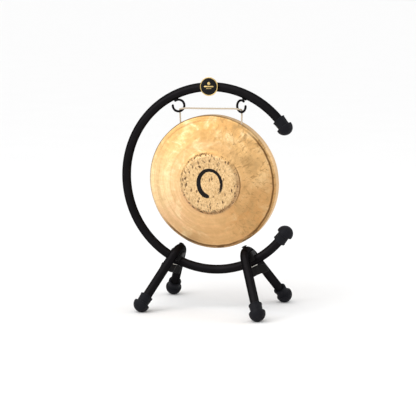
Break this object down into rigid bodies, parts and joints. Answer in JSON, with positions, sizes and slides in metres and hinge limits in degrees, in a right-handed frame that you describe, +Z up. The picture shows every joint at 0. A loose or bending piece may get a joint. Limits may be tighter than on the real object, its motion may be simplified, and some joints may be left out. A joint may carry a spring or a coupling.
{
  "type": "tam tam gong",
  "caption": "Bronze gong with a raised flat middle, hung on a cord from two hooks in a C-shaped black tube stand with splayed tube legs and rubber feet.",
  "frame": {"origin": "on the floor, under the middle of the outline seen from above", "axes": "+Z up, front of the gong towards -Y, the hoop lies in the XZ plane with its open side towards +X"},
  "size_m": [0.4402, 0.2756, 0.5659],
  "materials": {
    "black_paint": "black powder coat, semi-gloss",
    "black_rubber": "matte black rubber",
    "black_plastic": "moulded black plastic, matte",
    "zinc_steel": "zinc plated steel",
    "gold_plate": "gold coloured plated metal, polished",
    "black_enamel": "glossy black enamel",
    "gong_bronze": "hammered and lathed bronze, lacquered, with dark hammer scale",
    "cotton_cord": "twisted natural cotton cord"
  },
  "bodies": {
    "stand": {"hoop_tube": "black_paint", "end_cap_upper": "black_rubber", "end_cap_lower": "black_rubber", "leg_left": "black_paint", "foot_front_left": "black_rubber", "foot_rear_left": "black_rubber", "saddle_left": "black_plastic", "clamp_bolt_left": "black_paint", "hook_left": "black_paint", "leg_right": "black_paint", "foot_front_right": "black_rubber", "foot_rear_right": "black_rubber", "saddle_right": "black_plastic", "clamp_bolt_right": "black_paint", "hook_right": "black_paint", "badge_pad": "black_rubber", "badge_bezel": "gold_plate", "badge_face": "black_enamel", "cord_span": "cotton_cord"},
    "hanging_cord": {"cord_strand_left": "cotton_cord", "cord_strand_right": "cotton_cord"},
    "gong": {"gong": "gong_bronze", "cord_knot_left": "cotton_cord", "cord_knot_right": "cotton_cord"},
    "washer_left": {"clamp_washer_left": "zinc_steel"},
    "knob_left": {"clamp_knob_left": "black_plastic", "knob_insert_left": "zinc_steel"},
    "washer_right": {"clamp_washer_right": "zinc_steel"},
    "knob_right": {"clamp_knob_right": "black_plastic", "knob_insert_right": "zinc_steel"}
  },
  "joints": [
    {"name": "cord_swing", "type": "hinge", "parent": "stand", "child": "hanging_cord", "pos_m": [0.00897, 0.0028, 0.48212], "axis": [0.9998, 0, 0.0192], "range_deg": [-22, 22]},
    {"name": "gong_tilt", "type": "hinge", "parent": "hanging_cord", "child": "gong", "pos_m": [0.00955, 0.0028, 0.45211], "axis": [0.9992, -0.0349, 0.0192], "range_deg": [-18, 18]},
    {"name": "washer_slide_left", "type": "slide", "parent": "stand", "child": "washer_left", "axis": [-0.4226, 0, -0.9063], "range_m": [0, 0.00505]},
    {"name": "knob_turn_left", "type": "hinge", "parent": "washer_left", "child": "knob_left", "pos_m": [-0.08555, 0, 0.10361], "axis": [-0.4226, 0, -0.9063], "range_deg": [0, 1440]},
    {"name": "washer_slide_right", "type": "slide", "parent": "stand", "child": "washer_right", "axis": [0.4571, 0, -0.8894], "range_m": [0, 0.00505]},
    {"name": "knob_turn_right", "type": "hinge", "parent": "washer_right", "child": "knob_right", "pos_m": [0.12295, 0, 0.10761], "axis": [0.4571, 0, -0.8894], "range_deg": [0, 1440]}
  ],
  "couplings": [
    {"joint": "washer_slide_left", "follows": "knob_turn_left", "m_per_rad": 0.00019894},
    {"joint": "washer_slide_right", "follows": "knob_turn_right", "m_per_rad": 0.00019894}
  ]
}
